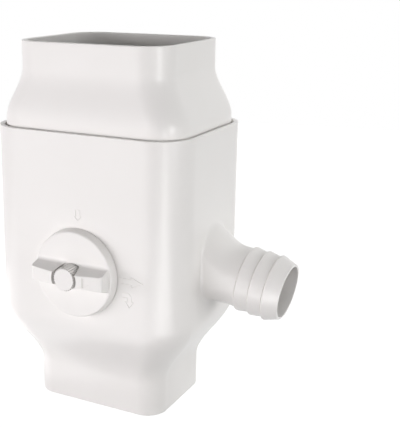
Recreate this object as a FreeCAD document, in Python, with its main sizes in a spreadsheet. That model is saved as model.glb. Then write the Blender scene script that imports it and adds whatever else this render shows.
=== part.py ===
import FreeCAD, Part
import math
import os

import Sketcher
from FreeCAD import Placement, Rotation, Vector

# Rainwater diverter for a 100 x 75 mm rectangular downpipe, in millimetres.
# Origin at the centre of the outlet spigot's lower rim, +Z up the pipe, knob on -Y, hose barb on +X.

os.makedirs("parts", exist_ok=True)
doc = FreeCAD.newDocument("RainwaterDiverter")
sheet = doc.addObject("Spreadsheet::Sheet", "Sizes")

SIZES = {
    # outlet spigot, shoulder and chamber of the body
    "spigot_width": 95,
    "spigot_depth": 73,
    "spigot_corner": 14.5,
    "spigot_height": 22.5,
    "shoulder_height": 44.5,
    "body_width": 139,
    "body_depth": 108,
    "body_corner": 24.5,
    "chamber_height": 121.3,
    "wall": 3,
    # inlet collar and its seat in the body
    "mouth_width": 108,
    "mouth_depth": 91,
    "mouth_corner": 19.5,
    "mouth_height": 17.4,
    "collar_neck_height": 32,
    "skirt_height": 32.6,
    "skirt_gap": 1.5,
    "seat_drop": 28.3,
    "seat_width": 2.5,
    "rib_thickness": 3,
    "rib_height": 98,
    "rib_inset": 19.5,
    # hose barb, measured along its own axis from the outside of the wall
    "barb_height": 98.7,
    "barb_tilt": 9.3,
    "barb_reach": 51.5,
    "barb_tip_length": 9.6,
    "barb_pitch": 9,
    "barb_land": 1,
    "barb_crest_radius": 21.25,
    "barb_valley_radius": 19.95,
    "barb_neck_radius": 19.7,
    "barb_tip_radius": 18.1,
    "barb_bore_radius": 16.5,
    "flare_length": 13,
    "flare_half_width": 20.3,
    "flare_half_height": 25.2,
    "flare_rise": 4,
    # valve: spindle, seal, flap and screws
    "axis_height": 100,
    "boss_length": 4,
    "boss_wall": 4,
    "journal_radius": 8,
    "pivot_radius": 4.2,
    "running_gap": 0.2,
    "end_gap": 0.3,
    "ring_section_radius": 0.9,
    "ring_place": 3.5,
    "key_width": 12,
    "key_depth": 9,
    "key_corner": 3.5,
    "key_gap": 0.1,
    "flap_tilt": 10,
    "flap_thickness": 3,
    "flap_end_gap": 2.5,
    "flap_side_gap": 2,
    "flap_corner": 26,
    "sleeve_wall": 3,
    "screw_place": 25,
    "screw_radius": 1.5,
    "screw_head_radius": 3,
    "screw_head_height": 2,
    "screw_length": 11,
    "screw_gap": 0.2,
    # knob and the splined spindle end
    "knob_gap": 0.4,
    "knob_base_radius": 29,
    "knob_face_radius": 27.8,
    "knob_thickness": 6.1,
    "wing_span": 52,
    "wing_reach": 11,
    "wing_root_height": 14.4,
    "wing_front_height": 8.1,
    "wing_slope": 8,
    "wing_round": 2.5,
    "wing_root_round": 1.2,
    "hub_reach": 17.3,
    "hub_gap": 1.7,
    "spline_root_radius": 6.8,
    "spline_crest_radius": 7.3,
    "spline_root_width": 1.1,
    "spline_crest_width": 0.4,
    "spline_gap": 0.1,
    "pointer_place": 16,
    "pointer_length": 6,
    "pointer_height": 6.6,
    "pointer_relief": 0.4,
}
# Counts, steps in the curved walls, margins, a start size that each sketch's dimensions replace, and
# how much of an oval's width its end arcs take
SPLINE_COUNT = 28
BARB_COUNT = 3
SHOULDER_STEPS = 8
NECK_STEPS = 5
TOUCH = 0.01
CUT_PAST = 1
EMBED = 0.6
START = 10.0
OVAL_SHARE = 0.98

for row, (alias, value) in enumerate(SIZES.items(), start=1):
    sheet.set("A%d" % row, alias)
    sheet.set("B%d" % row, str(value))
    sheet.setAlias("B%d" % row, alias)
doc.recompute()

# Heights and depths that several pieces share, as expressions on the sheet
SHOULDER_TOP = "(Sizes.spigot_height + Sizes.shoulder_height)"
RIM = "(Sizes.spigot_height + Sizes.shoulder_height + Sizes.chamber_height)"
SEAT = "(%s - Sizes.seat_drop)" % RIM
SKIRT_TOP = "(%s + Sizes.skirt_height)" % SEAT
COLLAR_NECK_TOP = "(%s + Sizes.collar_neck_height)" % SKIRT_TOP
COLLAR_TOP = "(%s + Sizes.mouth_height)" % COLLAR_NECK_TOP
FRONT = "(Sizes.body_depth / 2)"
INNER = "(Sizes.body_depth / 2 - Sizes.wall)"
BOSS_FACE = "(%s - Sizes.boss_length)" % INNER
SLEEVE_END = "(%s - Sizes.end_gap)" % BOSS_FACE
KNOB_BACK = "(%s + Sizes.knob_gap)" % FRONT
KNOB_FACE = "(%s + Sizes.knob_thickness)" % KNOB_BACK
WING_FRONT = "(%s + Sizes.wing_reach)" % KNOB_FACE
HUB_FRONT = "(%s + Sizes.hub_reach)" % FRONT
SIDE = "(Sizes.body_width / 2)"
SLEEVE_RADIUS = "(Sizes.key_width / 2 + Sizes.sleeve_wall)"
SCREW_SEAT = "(%s - Sizes.screw_head_height)" % SLEEVE_RADIUS
RING_RADIUS = "(Sizes.journal_radius + Sizes.running_gap / 2 - Sizes.ring_section_radius)"
GROOVE_HALF = "(Sizes.ring_section_radius + Sizes.running_gap)"
KEY = ("Sizes.key_width", "Sizes.key_depth", "Sizes.key_corner")
SPIGOT = ("Sizes.spigot_width", "Sizes.spigot_depth", "Sizes.spigot_corner")
CHAMBER = ("Sizes.body_width", "Sizes.body_depth", "Sizes.body_corner")
MOUTH = ("Sizes.mouth_width", "Sizes.mouth_depth", "Sizes.mouth_corner")


def inset(section, margin):
    """The rounded rectangle that lies a margin inside another."""
    width, depth, corner = section
    return (
        "(%s - 2 * %s)" % (width, margin),
        "(%s - 2 * %s)" % (depth, margin),
        "(%s - %s)" % (corner, margin),
    )


SKIRT = inset(inset(CHAMBER, "Sizes.wall"), "Sizes.skirt_gap")


def blended(low, high, share):
    """The rounded rectangle that lies a share of the way from one to another."""
    return tuple("(%s + (%s - %s) * %.6f)" % (a, b, a, share) for a, b in zip(low, high))


UPRIGHT = Vector(0, 0, 1)


def new_body(label):
    """A body whose label names its file."""
    body = doc.addObject("PartDesign::Body", label)
    body.Label = label
    return body


def new_sketch(body, name, plane, offset="0", shift=("0", "0"), turn=None, turn_axis=UPRIGHT):
    """A sketch on an origin plane, moved along its normal and turned about one of its own axes."""
    sketch = body.newObject("Sketcher::SketchObject", name)
    planes = [item for item in body.Origin.OriginFeatures if item.Role == plane]
    sketch.AttachmentSupport = [(planes[0], "")]
    sketch.MapMode = "FlatFace"
    if turn:
        sketch.AttachmentOffset = Placement(Vector(0, 0, 0), Rotation(turn_axis, 1))
        sketch.setExpression("AttachmentOffset.Rotation.Angle", turn)
    sketch.setExpression("AttachmentOffset.Base.x", shift[0])
    sketch.setExpression("AttachmentOffset.Base.y", shift[1])
    sketch.setExpression("AttachmentOffset.Base.z", offset)
    return sketch


def dimension(sketch, name, expression, kind, *places):
    """A named dimension that follows the sheet."""
    index = sketch.addConstraint(Sketcher.Constraint(kind, *places))
    sketch.renameConstraint(index, name)
    sketch.setExpression("Constraints." + name, expression)


def draw_rounded_rectangle(sketch, section):
    """A centred rectangle with tangent corner arcs, sized by width, depth and corner radius."""
    x, y, r = 3 * START, 2 * START, START
    right, top = x - r, y - r
    quarter = math.pi / 2

    def corner_arc(across, up, first):
        circle = Part.Circle(Vector(across, up, 0), UPRIGHT, r)
        return Part.ArcOfCircle(circle, first * quarter, (first + 1) * quarter)

    geometry = [
        Part.LineSegment(Vector(-right, -y, 0), Vector(right, -y, 0)),
        corner_arc(right, -top, 3),
        Part.LineSegment(Vector(x, -top, 0), Vector(x, top, 0)),
        corner_arc(right, top, 0),
        Part.LineSegment(Vector(right, y, 0), Vector(-right, y, 0)),
        corner_arc(-right, top, 1),
        Part.LineSegment(Vector(-x, top, 0), Vector(-x, -top, 0)),
        corner_arc(-right, -top, 2),
    ]
    sketch.addGeometry(geometry, False)
    count = len(geometry)
    for index in range(count):
        sketch.addConstraint(Sketcher.Constraint("Tangent", index, 2, (index + 1) % count, 1))
    for index in (0, 4):
        sketch.addConstraint(Sketcher.Constraint("Horizontal", index))
    for index in (2, 6):
        sketch.addConstraint(Sketcher.Constraint("Vertical", index))
    for index in (3, 5, 7):
        sketch.addConstraint(Sketcher.Constraint("Equal", 1, index))
    sketch.addConstraint(Sketcher.Constraint("Symmetric", 0, 1, 4, 1, -1, 1))
    width, depth, corner = section
    dimension(sketch, "width", width, "DistanceX", 6, 1, 2, 1, 2 * x)
    dimension(sketch, "depth", depth, "DistanceY", 0, 1, 4, 1, 2 * y)
    dimension(sketch, "corner", corner, "Radius", 1, r)


def draw_polygon(sketch, points):
    """A closed outline whose every corner is placed by two expressions."""
    count = len(points)
    turns = [2 * math.pi * index / count for index in range(count)]
    start = [Vector(math.cos(turn), math.sin(turn), 0) for turn in turns]
    first = sketch.GeometryCount
    for index in range(count):
        sketch.addGeometry(Part.LineSegment(start[index], start[(index + 1) % count]), False)
    for index in range(count):
        line = first + index
        following = first + (index + 1) % count
        sketch.addConstraint(Sketcher.Constraint("Coincident", line, 2, following, 1))
        across, up = points[index]
        dimension(sketch, "across_%d" % line, across, "DistanceX", -1, 1, line, 1, START)
        dimension(sketch, "up_%d" % line, up, "DistanceY", -1, 1, line, 1, START)


def draw_circle(sketch, name, radius, across="0", up="0"):
    """A circle placed and sized by expressions."""
    index = sketch.addGeometry(Part.Circle(Vector(START, START, 0), UPRIGHT, START), False)
    dimension(sketch, name + "_across", across, "DistanceX", -1, 1, index, 3, START)
    dimension(sketch, name + "_up", up, "DistanceY", -1, 1, index, 3, START)
    dimension(sketch, name + "_radius", radius, "Radius", index, START)


def pull(body, kind, name, sketch, length):
    """A pad or pocket of a set length."""
    feature = body.newObject("PartDesign::" + kind, name)
    feature.Profile = sketch
    feature.setExpression("Length", length)
    sketch.Visibility = False
    return feature


def spin(body, kind, name, sketch):
    """A full turn of a profile about its sketch's own horizontal axis."""
    feature = body.newObject("PartDesign::" + kind, name)
    feature.Profile = sketch
    feature.ReferenceAxis = (sketch, ["H_Axis"])
    feature.Angle = 360
    return feature


def ring_of(body, name, feature, sketch, count):
    """Copies of one feature around its sketch's normal."""
    pattern = body.newObject("PartDesign::PolarPattern", name)
    pattern.Originals = [feature]
    pattern.Axis = (sketch, ["N_Axis"])
    pattern.Angle = 360
    pattern.Occurrences = count
    body.Tip = pattern
    return pattern


def blend_loft(body, kind, name, low, high, base, height, steps):
    """An S-curved loft between two rounded rectangles, upright where it meets the straight walls."""
    sections = []
    for step in range(steps + 1):
        part_way = step / steps
        share = part_way * part_way * (3 - 2 * part_way)
        level = "%s + %s * %.6f" % (base, height, part_way)
        sketch = new_sketch(body, "%s_section_%d" % (name, step), "XY_Plane", level)
        draw_rounded_rectangle(sketch, blended(low, high, share))
        sections.append(sketch)
    loft = body.newObject("PartDesign::" + kind, name)
    loft.Profile = sections[0]
    loft.Sections = sections[1:]
    loft.Ruled = True
    return loft


def round_edges(body, name, radius, wanted):
    """A fillet on the edges that a test picks out of the body as it stands."""
    doc.recompute()
    base = body.Tip
    names = ["Edge%d" % (i + 1) for i, edge in enumerate(base.Shape.Edges) if wanted(edge)]
    feature = body.newObject("PartDesign::Fillet", name)
    feature.Base = (base, names)
    feature.setExpression("Radius", radius)
    doc.recompute()
    return feature


def value(expression_name):
    """A driving size as the sheet holds it."""
    return float(sheet.get(expression_name))


def oval_corner(half_width):
    """A corner radius that leaves almost nothing flat across an oval."""
    return "%s * %g" % (half_width, OVAL_SHARE)


def make_body():
    """Chamber, shoulder, outlet spigot and hose barb: one hollow moulding."""
    body = new_body("body")
    wall = "Sizes.wall"
    past = str(CUT_PAST)

    sketch = new_sketch(body, "spigot_outline", "XY_Plane")
    draw_rounded_rectangle(sketch, SPIGOT)
    pull(body, "Pad", "spigot", sketch, "Sizes.spigot_height")
    blend_loft(body, "AdditiveLoft", "shoulder", SPIGOT, CHAMBER,
               "Sizes.spigot_height", "Sizes.shoulder_height", SHOULDER_STEPS)
    sketch = new_sketch(body, "chamber_outline", "XY_Plane", SHOULDER_TOP)
    draw_rounded_rectangle(sketch, CHAMBER)
    pull(body, "Pad", "chamber", sketch, "Sizes.chamber_height")

    # Barb: a saw-tooth profile turned about the tilted axis
    barb_place = (SIDE, "Sizes.barb_height")
    down = "-Sizes.barb_tilt"
    sketch = new_sketch(body, "barb_profile", "XZ_Plane", "0", barb_place, down)
    last_step = "Sizes.barb_reach - Sizes.barb_tip_length"
    points = [("-" + wall, "0"), ("-" + wall, "Sizes.barb_neck_radius")]
    floor = "Sizes.barb_neck_radius"
    for tooth in range(BARB_COUNT):
        step = "%s - Sizes.barb_pitch * %d" % (last_step, BARB_COUNT - 1 - tooth)
        points.append((step, floor))
        points.append((step, "Sizes.barb_crest_radius"))
        points.append((step + " + Sizes.barb_land", "Sizes.barb_crest_radius"))
        floor = "Sizes.barb_valley_radius"
    points.append(("Sizes.barb_reach", "Sizes.barb_tip_radius"))
    points.append(("Sizes.barb_reach", "0"))
    draw_polygon(sketch, points)
    spin(body, "Revolution", "barb", sketch)

    # Flare: from an upright oval on the wall to the round neck
    root_up = "(Sizes.barb_height + Sizes.flare_rise)"
    root_half = "Sizes.flare_half_width"
    root = new_sketch(body, "flare_root", "YZ_Plane", "%s - Sizes.wall / 2" % SIDE, ("0", root_up))
    draw_rounded_rectangle(root, ("2 * " + root_half, "2 * Sizes.flare_half_height", oval_corner(root_half)))
    end_out = "%s + Sizes.flare_length * cos(Sizes.barb_tilt * 1deg)" % SIDE
    end_up = "Sizes.barb_height - Sizes.flare_length * sin(Sizes.barb_tilt * 1deg)"
    end_half = "Sizes.barb_neck_radius"
    end = new_sketch(body, "flare_end", "YZ_Plane", end_out, ("0", end_up), "Sizes.barb_tilt", Vector(1, 0, 0))
    draw_rounded_rectangle(end, ("2 * " + end_half, "2 * " + end_half, oval_corner(end_half)))
    flare = body.newObject("PartDesign::AdditiveLoft", "barb_flare")
    flare.Profile = root
    flare.Sections = [end]
    flare.Ruled = True

    # Cavity: the outside pulled in by the wall, its shoulder a little higher to keep the wall even
    lift = "Sizes.wall / 3"
    inner_chamber = inset(CHAMBER, wall)
    inner_spigot = inset(SPIGOT, wall)
    sketch = new_sketch(body, "chamber_cavity_outline", "XY_Plane", "%s + %s" % (RIM, past))
    draw_rounded_rectangle(sketch, inner_chamber)
    pull(body, "Pocket", "chamber_cavity", sketch, "Sizes.chamber_height - %s + %s" % (lift, past))
    blend_loft(body, "SubtractiveLoft", "shoulder_cavity", inner_spigot, inner_chamber,
               "Sizes.spigot_height + " + lift, "Sizes.shoulder_height", SHOULDER_STEPS)
    sketch = new_sketch(body, "spigot_cavity_outline", "XY_Plane", "Sizes.spigot_height + " + lift)
    draw_rounded_rectangle(sketch, inner_spigot)
    pull(body, "Pocket", "spigot_cavity", sketch, "Sizes.spigot_height + %s + %s" % (lift, past))

    # Four upright ribs near the corners carry the collar's skirt
    sketch = new_sketch(body, "rib_outlines", "XY_Plane", "%s - Sizes.rib_height" % SEAT)
    rib_in = "(%s - Sizes.skirt_gap - Sizes.seat_width)" % INNER
    rib_out = "(%s + %g)" % (INNER, EMBED)
    rib_middle = "(%s - Sizes.rib_inset)" % SIDE
    near = "(%s - Sizes.rib_thickness / 2)" % rib_middle
    far = "(%s + Sizes.rib_thickness / 2)" % rib_middle
    for across in ("", "-"):
        for up in ("", "-"):
            draw_polygon(sketch, [(across + near, up + rib_in), (across + far, up + rib_in),
                                  (across + far, up + rib_out), (across + near, up + rib_out)])
    pull(body, "Pad", "seat_ribs", sketch, "Sizes.rib_height")

    # Bearing bosses on the inside of the front and rear walls, and their bores
    axis = ("0", "Sizes.axis_height")
    sketch = new_sketch(body, "front_boss_outline", "XZ_Plane", BOSS_FACE, axis)
    draw_circle(sketch, "boss", "Sizes.journal_radius + Sizes.running_gap + Sizes.boss_wall")
    pull(body, "Pad", "front_boss", sketch, "Sizes.boss_length + %g" % EMBED)
    sketch = new_sketch(body, "rear_boss_outline", "XZ_Plane", "-(%s + %g)" % (INNER, EMBED), axis)
    draw_circle(sketch, "boss", "Sizes.pivot_radius + Sizes.running_gap + Sizes.boss_wall")
    pull(body, "Pad", "rear_boss", sketch, "Sizes.boss_length + %g" % EMBED)
    sketch = new_sketch(body, "front_bore_outline", "XZ_Plane", "%s + %s" % (FRONT, past), axis)
    draw_circle(sketch, "bore", "Sizes.journal_radius + Sizes.running_gap")
    pull(body, "Pocket", "front_bore", sketch, "Sizes.wall + Sizes.boss_length + 2 * " + past)
    sketch = new_sketch(body, "rear_bore_outline", "XZ_Plane", "-(%s - %s)" % (BOSS_FACE, past), axis)
    draw_circle(sketch, "bore", "Sizes.pivot_radius + Sizes.running_gap")
    pull(body, "Pocket", "rear_bore", sketch, "Sizes.boss_length + " + past)

    # Water way through the barb
    sketch = new_sketch(body, "barb_bore_profile", "XZ_Plane", "0", barb_place, down)
    start = "-(2 * Sizes.wall + %s)" % past
    end = "(Sizes.barb_reach + %s)" % past
    draw_polygon(sketch, [(start, "0"), (end, "0"), (end, "Sizes.barb_bore_radius"),
                          (start, "Sizes.barb_bore_radius")])
    spin(body, "Groove", "barb_bore", sketch)

    doc.recompute()
    return body


def make_inlet_collar():
    """Upper socket for the downpipe, swelling to a skirt that drops into the body's rim."""
    collar = new_body("inlet_collar")
    wall = "Sizes.wall"
    past = str(CUT_PAST)
    sketch = new_sketch(collar, "skirt_outline", "XY_Plane", SEAT)
    draw_rounded_rectangle(sketch, SKIRT)
    pull(collar, "Pad", "skirt", sketch, "Sizes.skirt_height")
    blend_loft(collar, "AdditiveLoft", "neck", SKIRT, MOUTH,
               SKIRT_TOP, "Sizes.collar_neck_height", NECK_STEPS)
    sketch = new_sketch(collar, "mouth_outline", "XY_Plane", COLLAR_NECK_TOP)
    draw_rounded_rectangle(sketch, MOUTH)
    pull(collar, "Pad", "mouth", sketch, "Sizes.mouth_height")

    inner_skirt = inset(SKIRT, wall)
    inner_mouth = inset(MOUTH, wall)
    drop = "Sizes.wall / 4"
    sketch = new_sketch(collar, "mouth_cavity_outline", "XY_Plane", "%s + %s" % (COLLAR_TOP, past))
    draw_rounded_rectangle(sketch, inner_mouth)
    pull(collar, "Pocket", "mouth_cavity", sketch, "Sizes.mouth_height + %s + %s" % (drop, past))
    blend_loft(collar, "SubtractiveLoft", "neck_cavity", inner_skirt, inner_mouth,
               "%s - %s" % (SKIRT_TOP, drop), "Sizes.collar_neck_height", NECK_STEPS)
    sketch = new_sketch(collar, "skirt_cavity_outline", "XY_Plane", "%s - %s" % (SKIRT_TOP, drop))
    draw_rounded_rectangle(sketch, inner_skirt)
    pull(collar, "Pocket", "skirt_cavity", sketch, "Sizes.skirt_height - %s + %s" % (drop, past))
    doc.recompute()
    return collar


def make_spindle():
    """Splined front end, sealed journal, keyed middle and rear pivot, in one piece."""
    spindle = new_body("spindle")
    axis = ("0", "Sizes.axis_height")
    sketch = new_sketch(spindle, "turned_profile", "YZ_Plane", "0", axis)
    groove_front = "-(%s - Sizes.ring_place + %s)" % (FRONT, GROOVE_HALF)
    groove_back = "-(%s - Sizes.ring_place - %s)" % (FRONT, GROOVE_HALF)
    groove_floor = "%s - Sizes.ring_section_radius - Sizes.running_gap / 4" % RING_RADIUS
    rear_end = "%s - Sizes.end_gap" % INNER
    draw_polygon(sketch, [
        ("-" + HUB_FRONT, "0"),
        ("-" + HUB_FRONT, "Sizes.spline_root_radius"),
        ("-" + KNOB_BACK, "Sizes.spline_root_radius"),
        ("-" + KNOB_BACK, "Sizes.journal_radius"),
        (groove_front, "Sizes.journal_radius"),
        (groove_front, groove_floor),
        (groove_back, groove_floor),
        (groove_back, "Sizes.journal_radius"),
        ("-" + SLEEVE_END, "Sizes.journal_radius"),
        ("-" + SLEEVE_END, "Sizes.pivot_radius"),
        (rear_end, "Sizes.pivot_radius"),
        (rear_end, "0"),
    ])
    spin(spindle, "Revolution", "turned", sketch)

    # Keyed length that drives the flap
    sketch = new_sketch(spindle, "key_outline", "XZ_Plane", "-" + SLEEVE_END, axis, "-Sizes.flap_tilt")
    draw_rounded_rectangle(sketch, KEY)
    pull(spindle, "Pad", "key", sketch, "2 * " + SLEEVE_END)

    # Screw holes across the key
    sketch = flap_sketch(spindle, "screw_holes_outline", "Sizes.key_depth")
    hole = "Sizes.screw_radius + Sizes.screw_gap / 4"
    draw_circle(sketch, "front", hole, "0", "-Sizes.screw_place")
    draw_circle(sketch, "rear", hole, "0", "Sizes.screw_place")
    pull(spindle, "Pocket", "screw_holes", sketch, "2 * Sizes.key_depth")

    # Splines on the end that shows in the middle of the knob
    sketch = new_sketch(spindle, "spline_outline", "XZ_Plane", KNOB_BACK, axis)
    draw_spline_tooth(sketch, "0")
    tooth = pull(spindle, "Pad", "spline", sketch, "Sizes.hub_reach - Sizes.knob_gap")
    ring_of(spindle, "splines", tooth, sketch, SPLINE_COUNT)
    doc.recompute()
    return spindle


def draw_spline_tooth(sketch, margin):
    """One tapered spline tooth at the top of the spindle end, or its groove with a margin all round."""
    foot = "Sizes.spline_root_radius - Sizes.spline_gap"
    crest = "Sizes.spline_crest_radius + " + margin
    half_foot = "(Sizes.spline_root_width / 2 + %s)" % margin
    half_crest = "(Sizes.spline_crest_width / 2 + %s)" % margin
    draw_polygon(sketch, [
        ("-" + half_foot, foot),
        (half_foot, foot),
        (half_crest, crest),
        ("-" + half_crest, crest),
    ])


def flap_sketch(body, name, height):
    """A sketch parallel to the tilted flap, at a height above the spindle's axis."""
    across = "%s * sin(Sizes.flap_tilt * 1deg)" % height
    level = "Sizes.axis_height + %s * cos(Sizes.flap_tilt * 1deg)" % height
    return new_sketch(body, name, "XY_Plane", level, (across, "0"), "Sizes.flap_tilt", Vector(0, 1, 0))


def make_spindle_o_ring():
    """Rubber ring in the journal's groove, its section squared as groove and bore press it."""
    ring = new_body("spindle_o_ring")
    sketch = new_sketch(ring, "ring_section", "YZ_Plane", "0", ("0", "Sizes.axis_height"))
    middle = "-(%s - Sizes.ring_place)" % FRONT
    half = "Sizes.ring_section_radius"
    draw_polygon(sketch, [
        ("%s - %s" % (middle, half), "%s - %s" % (RING_RADIUS, half)),
        ("%s + %s" % (middle, half), "%s - %s" % (RING_RADIUS, half)),
        ("%s + %s" % (middle, half), "%s + %s" % (RING_RADIUS, half)),
        ("%s - %s" % (middle, half), "%s + %s" % (RING_RADIUS, half)),
    ])
    spin(ring, "Revolution", "ring", sketch)
    return ring


def make_flap():
    """Plate with rounded corners on a sleeve that slides over the spindle's key."""
    flap = new_body("flap")
    axis = ("0", "Sizes.axis_height")
    length = "2 * (%s - Sizes.wall - Sizes.flap_end_gap)" % SIDE
    width = "2 * (%s - Sizes.skirt_gap - Sizes.seat_width - Sizes.flap_side_gap)" % INNER
    sketch = flap_sketch(flap, "plate_outline", "(-Sizes.flap_thickness / 2)")
    draw_rounded_rectangle(sketch, (length, width, "Sizes.flap_corner"))
    pull(flap, "Pad", "plate", sketch, "Sizes.flap_thickness")
    sketch = new_sketch(flap, "sleeve_outline", "XZ_Plane", "-" + SLEEVE_END, axis)
    draw_circle(sketch, "sleeve", SLEEVE_RADIUS)
    pull(flap, "Pad", "sleeve", sketch, "2 * " + SLEEVE_END)

    past = str(CUT_PAST)
    beyond = "%s + %s" % (SLEEVE_END, past)
    sketch = new_sketch(flap, "key_hole_outline", "XZ_Plane", beyond, axis, "-Sizes.flap_tilt")
    draw_rounded_rectangle(sketch, inset(KEY, "(-Sizes.key_gap)"))
    pull(flap, "Pocket", "key_hole", sketch, "2 * (%s + %s)" % (SLEEVE_END, past))

    # Flat seats and clearance holes for the two screws
    above = "(%s + %s)" % (SLEEVE_RADIUS, past)
    cuts = (
        ("screw_seats", "Sizes.screw_head_radius + Sizes.screw_gap", "%s - %s" % (above, SCREW_SEAT)),
        ("screw_holes", "Sizes.screw_radius + Sizes.screw_gap", above),
    )
    for name, radius, depth in cuts:
        sketch = flap_sketch(flap, name + "_outline", above)
        draw_circle(sketch, "front", radius, "0", "-Sizes.screw_place")
        draw_circle(sketch, "rear", radius, "0", "Sizes.screw_place")
        pull(flap, "Pocket", name, sketch, depth)
    doc.recompute()
    return flap


def make_flap_screws():
    """Two hexagon-headed screws through the sleeve into the spindle, as one group."""
    screws = []
    for name, side in (("front", "-"), ("rear", "")):
        head = doc.addObject("Part::Prism", name + "_screw_head")
        head.Polygon = 6
        head.setExpression("Circumradius", "Sizes.screw_head_radius")
        head.setExpression("Height", "Sizes.screw_head_height")
        shank = doc.addObject("Part::Cylinder", name + "_screw_shank")
        shank.setExpression("Radius", "Sizes.screw_radius")
        shank.setExpression("Height", "Sizes.screw_length")
        for piece, start in ((head, SCREW_SEAT), (shank, "(%s - Sizes.screw_length)" % SCREW_SEAT)):
            piece.Placement = Placement(Vector(0, 0, 0), Rotation(Vector(0, 1, 0), 1))
            piece.setExpression("Placement.Rotation.Angle", "Sizes.flap_tilt")
            piece.setExpression("Placement.Base.x", "%s * sin(Sizes.flap_tilt * 1deg)" % start)
            piece.setExpression("Placement.Base.y", side + "Sizes.screw_place")
            level = "Sizes.axis_height + %s * cos(Sizes.flap_tilt * 1deg)" % start
            piece.setExpression("Placement.Base.z", level)
        screw = doc.addObject("Part::MultiFuse", name + "_screw")
        screw.Shapes = [head, shank]
        screws.append(screw)
    group = doc.addObject("Part::Compound", "flap_screws")
    group.Label = "flap_screws"
    group.Links = screws
    return group


def make_knob():
    """Tapered disc with two wings either side of the spindle end, and a raised pointer."""
    knob = new_body("knob")
    axis = ("0", "Sizes.axis_height")
    past = str(CUT_PAST)
    sketch = new_sketch(knob, "disc_profile", "YZ_Plane", "0", axis)
    draw_polygon(sketch, [
        ("-" + KNOB_BACK, "0"),
        ("-" + KNOB_BACK, "Sizes.knob_base_radius"),
        ("-" + KNOB_FACE, "Sizes.knob_face_radius"),
        ("-" + KNOB_FACE, "0"),
    ])
    spin(knob, "Revolution", "disc", sketch)
    sketch = new_sketch(knob, "wing_section", "YZ_Plane", "-Sizes.wing_span / 2", axis)
    root = "-(%s - %g)" % (KNOB_FACE, EMBED)
    draw_polygon(sketch, [
        (root, "Sizes.wing_root_height / 2"),
        ("-" + WING_FRONT, "Sizes.wing_front_height / 2"),
        ("-" + WING_FRONT, "-Sizes.wing_front_height / 2"),
        (root, "-Sizes.wing_root_height / 2"),
    ])
    pull(knob, "Pad", "wings", sketch, "Sizes.wing_span")

    # The wings' fronts fall back from the well to the ends
    sketch = new_sketch(knob, "wing_slopes", "XY_Plane", "Sizes.axis_height + Sizes.wing_root_height")
    well = "(Sizes.spline_crest_radius + Sizes.hub_gap)"
    end = "(Sizes.wing_span / 2 + %s)" % past
    fallen = "-(%s - (%s - %s) * tan(Sizes.wing_slope * 1deg))" % (WING_FRONT, end, well)
    ahead = "-(%s + %s)" % (WING_FRONT, past)
    for side in ("", "-"):
        draw_polygon(sketch, [(side + well, "-" + WING_FRONT), (side + end, fallen),
                              (side + end, ahead), (side + well, ahead)])
    pull(knob, "Pocket", "wing_fronts", sketch, "2 * Sizes.wing_root_height")
    half_span = value("wing_span") / 2
    knob_face = -value("body_depth") / 2 - value("knob_gap") - value("knob_thickness")

    def outer_front(edge):
        box = edge.BoundBox
        at_end = min(abs(box.XMin - half_span), abs(box.XMax + half_span)) < TOUCH
        off_face = box.YMax < knob_face - TOUCH
        return at_end and off_face and box.XLength < TOUCH and box.YLength < TOUCH

    def wing_root(edge):
        box = edge.BoundBox
        on_face = abs(box.YMin - knob_face) < TOUCH and box.YLength < TOUCH
        beside_axis = abs(box.ZMin - value("axis_height")) < value("wing_root_height")
        return on_face and beside_axis and box.ZLength < TOUCH

    round_edges(knob, "wing_corners", "Sizes.wing_round", outer_front)
    round_edges(knob, "wing_roots", "Sizes.wing_root_round", wing_root)

    # Well round the spindle end, then the splined hole through the disc
    sketch = new_sketch(knob, "hub_well_outline", "XZ_Plane", "%s + %s" % (WING_FRONT, past), axis)
    draw_circle(sketch, "well", well)
    pull(knob, "Pocket", "hub_well", sketch, "Sizes.wing_reach + " + past)
    above_disc = "%s + %s" % (KNOB_FACE, past)
    through_disc = "Sizes.knob_thickness + 2 * " + past
    sketch = new_sketch(knob, "hub_hole_outline", "XZ_Plane", above_disc, axis)
    draw_circle(sketch, "hole", "Sizes.spline_root_radius + Sizes.spline_gap")
    pull(knob, "Pocket", "hub_hole", sketch, through_disc)
    sketch = new_sketch(knob, "spline_groove_outline", "XZ_Plane", above_disc, axis)
    draw_spline_tooth(sketch, "Sizes.spline_gap")
    groove = pull(knob, "Pocket", "spline_groove", sketch, through_disc)
    ring_of(knob, "spline_grooves", groove, sketch, SPLINE_COUNT)

    # Pointer on the right wing, laid on its sloping front
    fall = "(Sizes.pointer_place - %s) * tan(Sizes.wing_slope * 1deg)" % well
    pointer_base = "%s - %s - Sizes.pointer_relief" % (WING_FRONT, fall)
    pointer_place = ("Sizes.pointer_place", "Sizes.axis_height")
    sketch = new_sketch(knob, "pointer_outline", "XZ_Plane", pointer_base, pointer_place,
                        "Sizes.wing_slope", Vector(0, 1, 0))
    draw_polygon(sketch, [
        ("-Sizes.pointer_length / 2", "-Sizes.pointer_height / 2"),
        ("Sizes.pointer_length / 2", "0"),
        ("-Sizes.pointer_length / 2", "Sizes.pointer_height / 2"),
    ])
    pull(knob, "Pad", "pointer", sketch, "2 * Sizes.pointer_relief")
    doc.recompute()
    return knob


MAKERS = (
    make_body,
    make_inlet_collar,
    make_spindle,
    make_spindle_o_ring,
    make_flap,
    make_flap_screws,
    make_knob,
)
pieces = [maker() for maker in MAKERS]
doc.recompute()

failed = [item.Name for item in doc.Objects if "Invalid" in item.State or "Error" in item.State]
if failed:
    raise RuntimeError("failed features: " + ", ".join(failed))
for piece in pieces:
    if piece.Shape.isNull() or not piece.Shape.isValid():
        raise RuntimeError("bad shape: " + piece.Label)
for piece in pieces:
    piece.Shape.exportStep("parts/%s.step" % piece.Label)
    print(piece.Label, len(piece.Shape.Solids), "solids", round(piece.Shape.Volume / 1000, 2), "cm3")
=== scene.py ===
import math

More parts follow.
